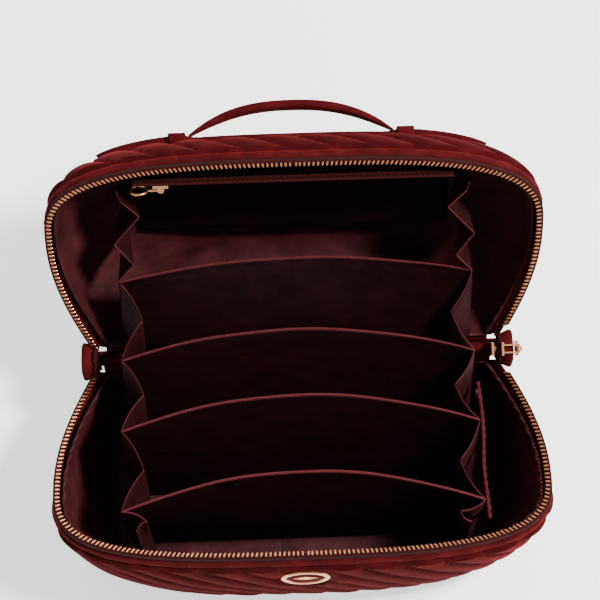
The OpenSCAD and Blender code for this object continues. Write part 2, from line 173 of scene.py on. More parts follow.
def satin(name, dark, light, stretch=(1, 1, 1), roughness=0.36, gloss=0.2, sheen=0.04):
    """Smooth lining cloth with long soft creases and a very fine weave. The crease field also sets the colour:
    painted shade in the creases' hollows and painted light on their crests.
    """
    mat, shader = new_material(name, dark, roughness)
    creases_and_shade = noise(mat, coords(mat, stretch), 60, 5)
    # painted shade and light: the colour runs from dark in the crease hollows to light on the crests
    link(mat, colour_ramp(mat, creases_and_shade, [(0.25, dark), (0.8, light)]), shader.inputs["Base Color"])
    shader.inputs["Sheen Weight"].default_value = sheen
    shader.inputs["Sheen Tint"].default_value = (0.9, 0.2, 0.25, 1)
    shader.inputs["Specular IOR Level"].default_value = gloss
    weave = noise(mat, coords(mat, (1, 1, 6)), 1500, 2)
    total = add_node(mat, "ShaderNodeMath")
    total.operation = "MULTIPLY_ADD"
    link(mat, weave, total.inputs[0])
    total.inputs[1].default_value = 0.08
    link(mat, creases_and_shade, total.inputs[2])
    bump(mat, shader, total.outputs[0], 0.5, 0.003)
    return mat


def woven(name, dark, light, pitch):
    """Coarse woven tape: crossed ribs, with painted shade where the weave sinks and painted light on the rib
    crossings.
    """
    mat, shader = new_material(name, dark, 0.85)
    shader.inputs["Specular IOR Level"].default_value = 0.08
    where = coords(mat)
    ribs = []
    for direction in ("X", "Y"):
        wave = add_node(mat, "ShaderNodeTexWave", Scale=pitch, Distortion=0.6)
        wave.bands_direction = direction
        link(mat, where, wave.inputs["Vector"])
        ribs.append(wave.outputs["Fac"])
    total = add_node(mat, "ShaderNodeMath")
    total.operation = "MULTIPLY"
    link(mat, ribs[0], total.inputs[0])
    link(mat, ribs[1], total.inputs[1])
    # painted shade and light: the colour is dark where the ribs sink and light where they cross
    link(mat, colour_ramp(mat, total.outputs[0], [(0.0, dark), (1.0, light)]), shader.inputs["Base Color"])
    bump(mat, shader, total.outputs[0], 0.6, 0.0006)
    return mat


def metal(name, colour, roughness):
    """Polished plating with faint handling marks."""
    mat, shader = new_material(name, colour, roughness)
    shader.inputs["Metallic"].default_value = 1.0
    marks = noise(mat, coords(mat), 900, 3)
    link(mat, colour_ramp(mat, marks, [(0.2, tuple(c * 0.8 for c in colour)), (0.8, colour)]),
         shader.inputs["Base Color"])
    bump(mat, shader, marks, 0.08, 0.0003)
    return mat


VELVET = velvet("velvet", (0.024, 0.0017, 0.0024), (0.038, 0.0026, 0.0038), (0.060, 0.0043, 0.0060))
VELVET_EDGE = velvet("velvet_edge", (0.032, 0.0025, 0.0036), (0.050, 0.004, 0.0055), (0.072, 0.006, 0.008))
SATIN = satin("satin_lining", (0.016, 0.0034, 0.0040), (0.052, 0.0105, 0.013), (1, 1, 1), 0.5, 0.10)
# darker copy of the lining satin: painted shade for the folds tucked between the dividers and in the lid
SATIN_FOLD_SHADED = satin("satin_fold_shaded", (0.008, 0.0017, 0.0020), (0.022, 0.0046, 0.0056), (1, 1, 1), 0.55, 0.06, 0.02)
# much darker copy of the lining satin: painted shade for the dividers down in the compartments; the lid pocket
# reuses it
SATIN_SHADED = satin("satin_divider_shaded", (0.0034, 0.0008, 0.0009), (0.0080, 0.0016, 0.0019), (1, 1, 2), 0.6, 0.03, 0.012)
THREAD = woven("edge_stitching", (0.065, 0.012, 0.015), (0.17, 0.035, 0.042), 900)
TAPE = woven("zip_tape", (0.020, 0.003, 0.0035), (0.060, 0.009, 0.009), 700)
ELASTIC = woven("elastic", (0.05, 0.006, 0.009), (0.13, 0.022, 0.028), 330)
ROSE_GOLD = metal("rose_gold", (0.66, 0.27, 0.15), 0.3)
GOLD = metal("gold", (0.72, 0.36, 0.19), 0.28)
BLACK = metal("snap", (0.05, 0.035, 0.04), 0.3)

# ---------------------------------------------------------------- the bag's surfaces, as in the CAD model

BAND_H, BULGE, WALL_T = 12, 3, 4
LID_FRONT, LID_BACK = 62, 74
CORNER_POW, DOME_POW, ARM_SHARE = 3.2, 2.7, 0.375
RIM_STRAIGHT, BASE_STRAIGHT = 0.62 * RIM_DEPTH, 0.62 * BASE_D
DOME_C = 0.49 * RIM_DEPTH
ZIP_START, BAND_START = 17, 5     # distances from the spine at which the teeth and the band begin
BAND_K = ARM_SHARE * BAND_START / RIM_STRAIGHT / 2
TEETH_K1 = 1 - ARM_SHARE * ZIP_START / RIM_STRAIGHT / 2
FLOOR_Z = 5.4


def outline(k, half0, half1, depth, straight, back=0.0):
    """x and the distance from the spine, round the mouth from the spine's left end to its right end."""
    side = np.where(k < 0.5, -1.0, 1.0)
    q = 1 - np.abs(2 * k - 1)
    f = np.minimum(q / ARM_SHARE, 1)
    t = np.clip((q - ARM_SHARE) / (1 - ARM_SHARE), 0, 1) * math.pi / 2
    arm = q <= ARM_SHARE
    x = np.where(arm, half0 + (half1 - half0) * np.sin(f * math.pi / 2),
                 half1 * np.abs(np.cos(t)) ** (2 / CORNER_POW))
    r = np.where(arm, back + (straight - back) * f,
                 straight + (depth - straight) * np.sin(t) ** (2 / CORNER_POW))
    return side * x, r


def rim(k, inset, back=0.0):
    return outline(k, HINGE_HW - inset, RIM_HW - inset, RIM_DEPTH - inset, RIM_STRAIGHT, back)


def mouth(x, r, d):
    """A point of the closed bag, in millimetres."""
    y = HINGE_Y - r * math.cos(TILT) + d * math.sin(TILT)
    z = HINGE_Z + r * math.sin(TILT) + d * math.cos(TILT)
    return np.stack(np.broadcast_arrays(x, y, z), -1)


def opened(points, angle=OPEN):
    """Turns closed-lid points to the open position."""
    p = np.array(points, float)
    y, z = p[..., 1] - HINGE_Y, p[..., 2] - HINGE_Z
    c, s = math.cos(-angle), math.sin(-angle)
    p[..., 1], p[..., 2] = HINGE_Y + y * c - z * s, HINGE_Z + y * s + z * c
    return p


def tub_pt(k, w, inset, z0=0.0, top=BAND_H, back=0.0):
    g = BULGE * np.sin(math.pi * w) - inset
    lx, lr = outline(k, BASE_HW + g, BASE_HW + g, BASE_D + g, BASE_STRAIGHT, back)
    hx, hr = outline(k, HINGE_HW + g, RIM_HW + g, RIM_DEPTH + g, RIM_STRAIGHT, back)
    low = np.stack(np.broadcast_arrays(lx, HINGE_Y - lr, z0), -1)
    w = np.broadcast_to(w, low.shape[:-1])[..., None]
    return (1 - w) * low + w * mouth(hx, hr, -top)


def dome_scale(q):
    return (1 - np.minimum(q, 1) ** DOME_POW) ** (1 / DOME_POW)


def dome_pt(x, r, q, inset):
    s = dome_scale(q)
    r = DOME_C + s * (r - DOME_C)
    h = LID_BACK + (LID_FRONT - LID_BACK) * r / RIM_DEPTH - inset
    return mouth(s * x, r, q * h)


def lid_pt(k, q, inset, back=0.0):
    x, r = rim(k, inset, back)
    return dome_pt(x, r, q, inset)


# ---------------------------------------------------------------- mesh helpers

def make_piece(name, verts, faces, mat, body, hides=(), smooth=True):
    mesh = bpy.data.meshes.new(name)
    mesh.from_pydata([tuple(v) for v in np.asarray(verts) * MM], [], faces)
    mesh.materials.append(mat)
    mesh.polygons.foreach_set("use_smooth", [smooth] * len(mesh.polygons))
    mesh.update()
    obj = bpy.data.objects.new(name, mesh)
    bpy.context.scene.collection.objects.link(obj)
    if body:
        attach(obj, body)
    if hides:
        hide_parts(*hides)
    return obj


def grid_faces(m, n, start=0, flip=False):
    i, j = np.meshgrid(np.arange(m - 1), np.arange(n - 1), indexing="ij")
    a = (start + i * n + j).ravel()
    quads = np.stack([a, a + n, a + n + 1, a + 1], 1)
    return (quads[:, ::-1] if flip else quads).tolist()


def slab(name, outer, inner, mat, body, hides=()):
    """A closed cloth layer between two grids of points of the same shape."""
    m, n = outer.shape[:2]
    total = m * n
    faces = grid_faces(m, n) + grid_faces(m, n, total, True)
    for j, sign in ((0, 1), (n - 1, -1)):
        a = np.arange(m - 1) * n + j
        quad = np.stack([a, a + total, a + total + n, a + n], 1)
        faces += (quad if sign > 0 else quad[:, ::-1]).tolist()
    for i, sign in ((0, -1), (m - 1, 1)):
        a = i * n + np.arange(n - 1)
        quad = np.stack([a, a + total, a + total + 1, a + 1], 1)
        faces += (quad if sign > 0 else quad[:, ::-1]).tolist()
    verts = np.concatenate([outer.reshape(-1, 3), inner.reshape(-1, 3)])
    return make_piece(name, verts, faces, mat, body, hides)


def tube(rings):
    """Vertices and faces of a closed sweep through rings of points."""
    m, n = rings.shape[:2]
    i, j = np.meshgrid(np.arange(m - 1), np.arange(n), indexing="ij")
    a, b = (i * n + j).ravel(), (i * n + (j + 1) % n).ravel()
    faces = np.stack([a, b, b + n, a + n], 1).tolist()
    faces += [list(range(n))[::-1], [(m - 1) * n + q for q in range(n)]]
    return rings.reshape(-1, 3), faces


def joined(parts):
    verts, faces, start = [], [], 0
    for v, f in parts:
        verts.append(np.asarray(v))
        faces += [[q + start for q in face] for face in f]
        start += len(v)
    return np.concatenate(verts), faces


def turns(count):
    """Evenly spaced angles round a circle."""
    return np.linspace(0, 2 * math.pi, count + 1)[:-1]


def normals(grid):
    du = np.gradient(grid, axis=0)
    dv = np.gradient(grid, axis=1)
    n = np.cross(du, dv)
    return n / np.maximum(np.linalg.norm(n, axis=-1, keepdims=True), 1e-9)


def even(points_of, lo, hi, count):
    """Values between lo and hi at which a curve's points are evenly spaced."""
    fine = np.linspace(lo, hi, 1500)
    p = points_of(fine)
    length = np.concatenate([[0], np.cumsum(np.linalg.norm(np.diff(p, axis=0), axis=1))])
    return np.interp(np.linspace(0, length[-1], count), length, fine), length[-1]


# ---------------------------------------------------------------- quilted walls

CHANNEL = 22        # spacing of the sewn channels along the wall
PUFF = 2.4          # how far a channel stands proud


def puff(phase, side=0.0):
    """Height of sewn channels: round between seams, with small gathers across them."""
    f = phase - np.floor(phase)
    crown = np.clip(1 - np.abs(2 * f - 1) ** 2.1, 0, 1) ** 0.62
    gathers = 0.10 * np.sin(side * 0.9 + 2.0 * np.sin(phase * 1.7)) * (1 - crown)
    return crown + gathers


def quilted(name, outer, inner, run, rise, body, hides, edge_lo=0.03, edge_hi=0.03, calm=1.0):
    """Pushes a wall's outer grid out in diagonal channels, flattened at its top and bottom seams."""
    n = outer.shape[1]
    v = np.linspace(0, 1, n)[None, :]
    fade = np.clip(v / edge_lo, 0, 1) * np.clip((1 - v) / edge_hi, 0, 1)
    fade = fade * fade * (3 - 2 * fade)
    phase = (run + rise) / CHANNEL
    lumps = 0.35 * np.sin(run / 17 + 1.3 * np.sin(rise / 13)) * np.sin(rise / 11 + run / 29)
    height = (PUFF * puff(phase, run - rise) + lumps) * fade * calm
    return slab(name, outer + normals(outer) * height[..., None], inner, VELVET, body, hides)


def wall_runs(grid):
    """Distances round and up a wall, measured at its middle."""
    mid = grid[:, grid.shape[1] // 2]
    run = np.concatenate([[0], np.cumsum(np.linalg.norm(np.diff(mid, axis=0), axis=1))])
    up = grid[grid.shape[0] // 2]
    rise = np.concatenate([[0], np.cumsum(np.linalg.norm(np.diff(up, axis=0), axis=1))])
    return (run - run[-1] / 2)[:, None], rise[None, :]


def tub_walls():
    ks, _ = even(lambda k: tub_pt(k, 0.6, 0), 0, 1, 440)
    ws = np.linspace(0, 1, 76)
    k, w = np.meshgrid(ks, ws, indexing="ij")
    outer, inner = tub_pt(k, w, 0), tub_pt(k, w, WALL_T)
    run, rise = wall_runs(outer)
    low, high = (np.array(c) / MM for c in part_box("emblem_plaque"))
    middle, half = (low + high) / 2, (high - low) / 2
    reach = np.hypot((outer[..., 0] - middle[0]) / half[0], (outer[..., 2] - middle[2]) / half[2])
    calm = np.where(outer[..., 1] < 0, np.clip((reach - 0.95) / 0.35, 0, 1), 1.0)
    quilted("tub_walls", outer, inner, run, rise, "tub",
            ("tub_left_panel", "tub_front_panel", "tub_right_panel"), 0.05, calm=calm)
    low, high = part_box("tub_back_panel")
    across = np.linspace(high.x - 0.001, low.x + 0.001, 200) / MM
    x, z = np.meshgrid(across, np.linspace(low.z, high.z, 56) / MM, indexing="ij")
    back = np.stack([x, np.full_like(x, HINGE_Y), z], -1)
    front = np.stack([x, np.full_like(x, HINGE_Y - WALL_T), z], -1)
    quilted("tub_back", back, front, -x, z, "tub", ("tub_back_panel",), 0.05, 0.06)


def lid_walls():
    ks, _ = even(lambda k: lid_pt(k, 0.5, 0), 0, 1, 440)
    q0, q1 = BAND_H / LID_FRONT, 0.86
    qs = q0 + (q1 - q0) * np.sin(np.linspace(0, math.pi / 2, 70))
    k, q = np.meshgrid(ks, qs, indexing="ij")
    outer, inner = opened(lid_pt(k, q, 0)), opened(lid_pt(k, q, WALL_T))
    run, rise = wall_runs(outer)
    half = 0.5 * STRAP_W * math.cos(SHOULDER_A) / SHOULDER_H
    below = np.clip((STRAP_Q - half - q) / 0.10, 0, 1)
    beyond = np.clip((np.abs(outer[..., 0]) - STRAP_HL) / 8, 0, 1)
    quilted("lid_walls", outer, inner, run, rise, "lid",
            ("lid_left_panel", "lid_front_panel", "lid_right_panel"), calm=np.maximum(below, beyond))
    a, q = np.meshgrid(np.linspace(1, -1, 200), np.linspace(0.05, 1, 60), indexing="ij")
    q = 0.047 + (q1 - 0.047) * np.sin(q * math.pi / 2)
    across = a * (HINGE_HW - 4.2 / dome_scale(q))
    outer = opened(dome_pt(across, 0.0, q, 0))
    inner = opened(dome_pt(across, 4.0, q, WALL_T))
    run, rise = wall_runs(outer)
    quilted("lid_rear", outer, inner, run, rise, "lid", ("lid_rear_panel",), 0.05, 0.04)


def crown_ring(q, inset, ks, lift=0.0):
    x, r = rim(ks, inset, inset)
    u = np.linspace(0, 1, 62)[1:-1]
    x = np.concatenate([x, x[-1] + (x[0] - x[-1]) * u])
    r = np.concatenate([r, r[-1] + (r[0] - r[-1]) * u])
    return dome_pt(x, r, np.asarray(q), inset - lift)


def lid_top():
    """The lid's crown: one quilted panel with diagonal channels."""
    ks, _ = even(lambda k: lid_pt(k, 0.86, 0), 0, 1, 260)
    qs = 0.864 + 0.1355 * np.sin(np.linspace(0, math.pi / 2, 46)) ** 0.8
    rings = []
    for q in qs:
        ring = crown_ring(q, 0, ks)
        edge = np.clip((q - 0.864) / 0.012, 0, 1)
        phase = (ring[:, 0] + ring[:, 1]) / CHANNEL
        ring[:, 2] += PUFF * puff(phase, ring[:, 0] - ring[:, 1]) * edge
        rings.append(ring)
    under = [crown_ring(q, WALL_T, ks) for q in np.linspace(0.995, 0.864, 8)]
    verts, faces = tube(opened(np.array(under + rings)))
    make_piece("lid_top", verts, faces, VELVET, "lid", ("lid_top_panel",))


def base():
    ks, _ = even(lambda k: tub_pt(k, 0.0, 0), 0, 1, 200)
    rings = []
    for inset, z in ((9, 0.0), (6, 0.0), (4.8, 0.4), (4.3, 1.5), (4.8, 2.7), (6, 3.0)):
        x, r = outline(ks, BASE_HW - inset, BASE_HW - inset, BASE_D - inset, BASE_STRAIGHT, inset)
        rings.append(np.stack([x, HINGE_Y - r, np.full_like(x, z)], -1))
    verts, faces = tube(np.array(rings))
    make_piece("base_cloth", verts, faces, VELVET, "tub", ("base_panel",))


# ---------------------------------------------------------------- zip round the mouth

PITCH = 2.6


def rim_frames(lid, count, k1=TEETH_K1):
    """Evenly spaced places along the zip, with the directions along and into the mouth and across it."""
    ks, length = even(lambda k: mouth(*rim(k, 2.5), 0.0), BAND_K, k1, count)
    p0 = mouth(*rim(ks, 0.0), 0.0)
    p1 = mouth(*rim(ks, 6.0), 0.0)
    inward = (p1 - p0) / 6.0
    along = np.gradient(p0, axis=0)
    along /= np.linalg.norm(along, axis=1, keepdims=True)
    up = np.array([0, math.sin(TILT), math.cos(TILT)])
    return p0, inward, along, up * (1 if lid else -1), length


def rim_sweep(name, profile, lid, mat, hides, k1=TEETH_K1, count=420, ripple=0.0):
    """Sweeps (inset, depth) pairs along the zip; depth runs away from the closed mouth plane."""
    p0, inward, _, away, length = rim_frames(lid, count, k1)
    s = np.linspace(0, length, count)
    rings = []
    for i in range(count):
        wave = ripple * math.sin(s[i] / 3.1) * math.sin(s[i] / 7.7)
        rings.append([p0[i] + inward[i] * (a + wave) + away * d for a, d in profile])
    rings = np.array(rings)
    if lid:
        rings = opened(rings[:, ::-1])
    verts, faces = tube(rings)
    return make_piece(name, verts, faces, mat, "lid" if lid else "tub", hides)


def tooth_shape():
    """One zip tooth: a shank that clamps the tape and a rounded head."""
    ring = [(-0.62, 0.0), (0.62, 0.0), (0.72, 1.5), (0.55, 2.6), (0.2, 3.0), (-0.2, 3.0), (-0.55, 2.6), (-0.72, 1.5)]
    levels = [(0.78, 0.0), (1.0, 0.25), (1.0, 0.95), (0.78, 1.2)]
    return [[(a * s, b if b < 0.1 else 1.5 + (b - 1.5) * s, h) for a, b in ring] for s, h in levels]


def teeth(name, lid, hides):
    p0, inward, along, away, length = rim_frames(lid, 4)
    count = int(length / PITCH)
    p0, inward, along, away, _ = rim_frames(lid, count)
    shape = np.array(tooth_shape())
    parts = []
    for i in range(count):
        base_point = p0[i] + inward[i] * 1.4 + away * 0.32
        rings = (base_point + shape[..., 0:1] * along[i] + shape[..., 1:2] * inward[i] + shape[..., 2:3] * away)
        parts.append(tube(opened(rings) if lid else rings[::-1]))
    verts, faces = joined(parts)
    return make_piece(name, verts, faces, ROSE_GOLD, "lid" if lid else "tub", hides, False)


def zip_round_mouth():
    band = [(0.3, BAND_H - 0.2), (1.6, BAND_H), (2.6, BAND_H - 1.2), (2.6, 6.4), (1.8, 5.1), (0.7, 4.9),
            (0.0, 6.2), (-0.3, 8.2), (-0.1, 10.6)]
    tape = [(0.9, 6.0), (2.2, 6.0), (2.2, 3.4), (1.6, 1.9), (1.9, 1.3), (1.9, 0.5), (0.3, 0.5), (0.1, 1.6),
            (0.6, 3.6)]
    for lid, word in ((False, "tub"), (True, "lid")):
        rim_sweep(word + "_band_cloth", band, lid, VELVET_EDGE, (word + "_band",), 1 - BAND_K,
                  ripple=0.2)
        rim_sweep(word + "_tape", tape, lid, TAPE, (word + "_zip_tape",))
        teeth(word + "_teeth", lid, (word + "_zip_teeth",))
        stitches(word, lid)


def stitches(word, lid):
    """Small thread dots on the band, one every channel width."""
    p0, inward, along, away, length = rim_frames(lid, 4)
    count = int(length / CHANNEL)
    p0, inward, along, away, _ = rim_frames(lid, count)
    parts = []
    for i in range(count):
        middle = p0[i] - inward[i] * 0.35 + away * 8.6
        rings = np.array([[middle + along[i] * u + (inward[i] * math.cos(t) + away * math.sin(t)) * r
                           for t in turns(6)]
                          for u, r in ((-1.1, 0.1), (-0.6, 0.32), (0.6, 0.32), (1.1, 0.1))])
        parts.append(tube(opened(rings) if lid else rings))
    verts, faces = joined(parts)
    make_piece(word + "_band_threads", verts, faces, THREAD, "lid" if lid else "tub")


# ---------------------------------------------------------------- lining

def lining_rows(points_of, rows, ks):
    """Rings of a lining bowl; each row gives the place up the wall, the inset and the gather depth."""
    rings = []
    s = np.linspace(0, 1, len(ks)) * 480
    for v, inset, gather in rows:
        tuck = gather * (1 + np.sin(s / 1.35 + 1.1 * np.sin(s / 9)))
        x_r = points_of(ks, v, inset + tuck)
        u = np.linspace(0, 1, 42)[1:-1, None]
        rings.append(np.concatenate([x_r, x_r[-1] + (x_r[0] - x_r[-1]) * u]))
    return rings


def shrunk(ring, share):
    middle = ring.mean(0)
    return middle + (ring - middle) * share


def linings():
    ks, _ = even(lambda k: tub_pt(k, 0.8, 5), 0, 1, 420)

    def tub_in(k, w, inset):
        return tub_pt(k, w, inset, FLOOR_Z + 1.2, 5.6, 6.0)

    def tub_out(k, w, inset):
        return tub_pt(k, w, inset, FLOOR_Z, 5.6, 4.9)

    ws = np.linspace(0, 1, 22) ** 0.8
    inside = lining_rows(tub_in, [(w, 6.0, 0.05 + 0.5 * w ** 8) for w in ws], ks)
    outside = lining_rows(tub_out, [(w, 4.9, 0.0) for w in ws[::-3]], ks)
    floor_in = [shrunk(inside[0], s) for s in (0.04, 0.3, 0.6, 0.85, 0.97)]
    verts, faces = tube(np.array(floor_in + inside + outside)[::-1])
    make_piece("tub_lining_cloth", verts, faces, SATIN, "tub", ("tub_lining",))

    def lid_in(k, q, inset):
        return lid_pt(k, q, inset, 6.0)

    def lid_out(k, q, inset):
        return lid_pt(k, q, inset, 4.9)

    qs = 0.095 + 0.89 * np.sin(np.linspace(0, math.pi / 2, 30))
    inside = lining_rows(lid_in, [(q, 6.0, 0.05 + 0.45 * (1 - q) ** 10) for q in qs[::-1]], ks)
    outside = lining_rows(lid_out, [(q, 4.9, 0.0) for q in qs[::3]], ks)
    verts, faces = tube(opened(np.array(inside + outside)))
    make_piece("lid_lining_cloth", verts, faces, SATIN, "lid", ("lid_lining",))


# ---------------------------------------------------------------- dividers and gussets

DIV_HW, DIV_H, REAR_H, BOW = 104, 88, 58, 20
PIVOT_Z = FLOOR_Z + 1.2 + 0.3 + 0.5     # lining, clearance and half the cloth above the floor
THIRD_Y = HINGE_Y - 38
SECOND_Y, FRONT_Y = THIRD_Y - 30, THIRD_Y - 60
REAR_LEAN = 33


def divider_pt(foot, lean, height, x, h, off=0.0):
    """A point of a divider: x across, h up it, off its middle plane."""
    y = BOW * (h / height) ** 2 * (1 - (x / DIV_HW) ** 2) + off
    a = math.radians(lean)
    return np.stack(np.broadcast_arrays(x, foot[0] + y * math.cos(a) + h * math.sin(a),
                                        foot[1] - y * math.sin(a) + h * math.cos(a)), -1)


DIVIDERS = {"front": ((FRONT_Y, PIVOT_Z), -4, 0.5, DIV_H, "tub"),
            "second": ((SECOND_Y, PIVOT_Z), 8, 0.5, DIV_H, "second_flap"),
            "third": ((THIRD_Y, PIVOT_Z), 18, 0.5, DIV_H, "third_flap"),
            "rear": ((HINGE_Y, HINGE_Z), REAR_LEAN, 11, REAR_H, "rear_flap")}


def dividers():
    xs = np.linspace(-DIV_HW, DIV_HW, 150)
    for index, (word, (foot, lean, h0, h1, body)) in enumerate(DIVIDERS.items()):
        x, h = np.meshgrid(xs, np.linspace(h0, h1, 44), indexing="ij")
        share = (h - h0) / (h1 - h0)
        slack = 0.5 * share * np.sin(x / 19 + index) * np.sin(h / 13 + x / 31)
        pinch = 0.35 * np.exp(-((h1 - h - 3.0) / 0.8) ** 2)
        front = divider_pt(foot, lean, h1, x, h, slack - 0.85 + pinch)
        back = divider_pt(foot, lean, h1, x, h, slack + 0.85 - pinch)
        # the divider cloth's very dark satin is painted shade of the compartments
        cloth = slab("divider_%s_cloth" % word, front, back, SATIN_SHADED, body,
                     ("divider_" + word,))
        rows = []
        for t in turns(10):
            slack_top = 0.5 * np.sin(xs / 19 + index) * np.sin(h1 / 13 + xs / 31)
            rows.append(divider_pt(foot, lean, h1, xs, np.full_like(xs, h1 - 0.3) + 0.55 * math.cos(t),
                                   slack_top + 0.9 * math.sin(t)))
        verts, faces = tube(np.stack(rows, 1))
        edge = make_piece("divider_%s_edge" % word, verts, faces, THREAD, body)


def edge_line(word, side, ts):
    """The end of a divider, from its foot to its top."""
    foot, lean, h0, h1, _ = DIVIDERS[word]
    return divider_pt(foot, lean, h1, np.full_like(ts, side * DIV_HW), h0 + (h1 - h0) * ts)


FOLD_IN = 13        # how far a fold's crease stands in from the dividers' ends
HEM_R = 0.5


def hem(name, line):
    """The stitched edge along a line of points. It has no body yet."""
    rings = [[point + np.array([0, HEM_R * math.cos(t), HEM_R * math.sin(t)]) for t in turns(6)] for point in line]
    verts, faces = tube(np.array(rings))
    return make_piece(name, verts, faces, THREAD, None)


def fold_half(name, edge, apex, body):
    """Half of a gusset fold, from a divider's end to the fold's inner crease. It is attached to the tub when its
    body is the tub; otherwise it is left without a body."""
    u = np.linspace(0, 1, 12)[None, :, None]
    grid = edge[:, None] * (1 - u) + apex[:, None] * u
    sag = np.sin(u * math.pi) * (1.2 + 1.1 * np.sin(np.linspace(0, 9, len(edge)))[:, None, None])
    grid = grid + normals(grid) * sag
    n = normals(grid) * 0.4
    # the fold's darkened satin is painted shade for the recess between dividers
    piece = slab(name, grid + n, grid - n, SATIN_FOLD_SHADED, None)
    stitched = hem(name + "_hem", grid[-1])
    if body == "tub":
        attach(piece, "tub")
        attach(stitched, "tub")
        return piece
    line = apex[-1] - apex[0]
    normal = np.cross([1.0, 0, 0], line)
    normal /= np.linalg.norm(normal)
    if normal @ (edge.mean(0) - apex.mean(0)) < 0:
        normal = -normal
    for part in (piece, stitched):
        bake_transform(part)
    return piece


def gussets():
    ts = np.linspace(0, 1, 30)
    for side, hand in ((-1, "left"), (1, "right")):
        lines = {w: edge_line(w, side, ts) for w in DIVIDERS}
        back = lines["rear"].copy()
        back[:, 1] = np.where(ts < 0.6, HINGE_Y - 6.2, 0)
        back[:, 2] = PIVOT_Z + (HINGE_Z - 5 - PIVOT_Z) * ts / 0.6
        high = np.clip((ts - 0.6) / 0.4, 0, 1)
        rear = edge_line("rear", side, high)
        back = np.where((ts >= 0.6)[:, None], rear, back)
        front = np.stack([np.full_like(ts, side * 96.0), np.full_like(ts, FRONT_Y - 17.0),
                          PIVOT_Z + (DIV_H - 6) * ts], -1)
        runs = [("front", "second"), ("second", "third")]
        first = None
        for a, b in runs:
            apex = (lines[a] + lines[b]) / 2 - np.array([side * FOLD_IN, 0, 0])
            for word in (a, b):
                piece = fold_half("gusset_%s_%s_%s" % (hand, a, word), lines[word], apex, DIVIDERS[word][4])
                first = first or piece
        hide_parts("gusset_" + hand)
        apex = (lines["front"] + front) / 2 - np.array([side * FOLD_IN * 0.8, 0, 0])
        fold_half("gusset_%s_mouth_a" % hand, lines["front"], apex, "tub")
        fold_half("gusset_%s_mouth_b" % hand, front, apex, "tub")
        apex = (lines["third"] + back) / 2 - np.array([side * FOLD_IN, 0, 0])
        fold_half("gusset_%s_back_a" % hand, lines["third"], apex, "third_flap")
        low = ts < 0.6
        fold_half("gusset_%s_back_b" % hand, back[low], apex[low], "tub")
        fold_half("gusset_%s_back_c" % hand, back[~low], apex[~low], "rear_flap")
        lid_folds(hand, side)


def lid_folds(hand, side):
    """Lining folded between the rear divider's end and the lid's front wall."""
    ts = np.linspace(0, 1, 26)
    far = opened(mouth(side * (102 + 0 * ts), 114 - 8 * ts, 9 + 40 * ts))
    sunk = opened(mouth(side * (104 + 0 * ts), 58 + 0 * ts, 0 + 44 * ts))
    grid = []
    for u, out in ((0, 0), (0.18, -9), (0.42, 2), (0.72, -13), (0.9, -2), (1, 0)):
        line = sunk * (1 - u) + far * u
        line = line + np.array([side * out, 0, 0]) * (1 - 0.6 * ts[:, None])
        grid.append(line)
    grid = np.stack(grid, 1)
    fine = np.linspace(0, grid.shape[1] - 1, 60)
    low = np.minimum(fine.astype(int), grid.shape[1] - 2)
    f = (fine - low)[None, :, None]
    f = f * f * (3 - 2 * f)
    grid = grid[:, low] * (1 - f) + grid[:, low + 1] * f
    n = normals(grid) * 0.4
    # the fold's darkened satin is painted shade for the recess by the rear divider
    piece = slab("gusset_%s_lid" % hand, grid + n, grid - n, SATIN_FOLD_SHADED, None)
    stitched = hem("gusset_%s_lid_hem" % hand, grid[0])
    for part in (piece, stitched):
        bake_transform(part)


# ---------------------------------------------------------------- handle

STRAP_HL, STRAP_W, KEEPER_X, ARCH_H, STRAP_Q = 108, 14, 67, 17, 0.7
SHOULDER_S = float(dome_scale(np.array(STRAP_Q)))
SHOULDER_R = DOME_C + SHOULDER_S * (RIM_DEPTH - DOME_C)
SHOULDER_H = LID_BACK + (LID_FRONT - LID_BACK) * SHOULDER_R / RIM_DEPTH
SHOULDER_A = math.atan2(STRAP_Q ** (DOME_POW - 1) / SHOULDER_H,
                        SHOULDER_S ** (DOME_POW - 1) / (RIM_DEPTH - DOME_C))


def k_at(x):
    t = np.arccos((np.abs(x) / (SHOULDER_S * RIM_HW)) ** (CORNER_POW / 2)) / (math.pi / 2)
    k = (ARM_SHARE + (1 - ARM_SHARE) * t) / 2
    return np.where(x < 0, k, 1 - k)


def strap_rings(xs, lift, width, thick, edge_roll=0.5):
    """Rings of a flat strap that follows the dome; its long edges are rolled."""
    half = 0.5 * width * math.cos(SHOULDER_A) / SHOULDER_H
    k = k_at(xs)
    rings = []
    for across, up in ((-1, 0.15), (-1.02, 0.6), (-0.96, 1 + edge_roll), (-0.84, 1.1), (-0.4, 0.95), (0.4, 0.95),
                       (0.84, 1.1), (0.96, 1 + edge_roll), (1.02, 0.6), (1, 0.15), (0.5, 0), (-0.5, 0)):
        rings.append(lid_pt(k, np.full_like(k, STRAP_Q + half * across), -lift - thick * up))
    return np.stack(rings, 1)


def on_shoulder(points, x=0.0):
    """Local (across, up the dome, outwards) to the opened lid."""
    place = lid_pt(np.array([k_at(np.array(x))]), np.array([STRAP_Q]), 0)[0]
    place = np.array([0, place[1], place[2]])
    a = math.pi / 2 - SHOULDER_A - TILT
    p = np.asarray(points, float)
    y = p[..., 1] * math.cos(a) - p[..., 2] * math.sin(a)
    z = p[..., 1] * math.sin(a) + p[..., 2] * math.cos(a)
    return opened(np.stack([p[..., 0], y + place[1], z + place[2]], -1))


def handle():
    xs = np.linspace(-STRAP_HL, STRAP_HL, 140)
    verts, faces = tube(opened(strap_rings(xs, 0.5, STRAP_W, 1.5)))
    make_piece("strap_base_cloth", verts, faces, VELVET_EDGE, "lid", ("strap_base",))
    foot = KEEPER_X - 6.6
    for side, hand in ((-1, "left"), (1, "right")):
        xs = np.linspace(side * (foot - 3), side * (STRAP_HL - 2), 50)
        verts, faces = tube(opened(strap_rings(xs, 2.5, STRAP_W * 0.82, 1.6)))
        make_piece("handle_end_%s_cloth" % hand, verts, faces, VELVET_EDGE, "lid",
                   ("handle_end_" + hand,))
        keeper(side, hand)
    arch(foot)


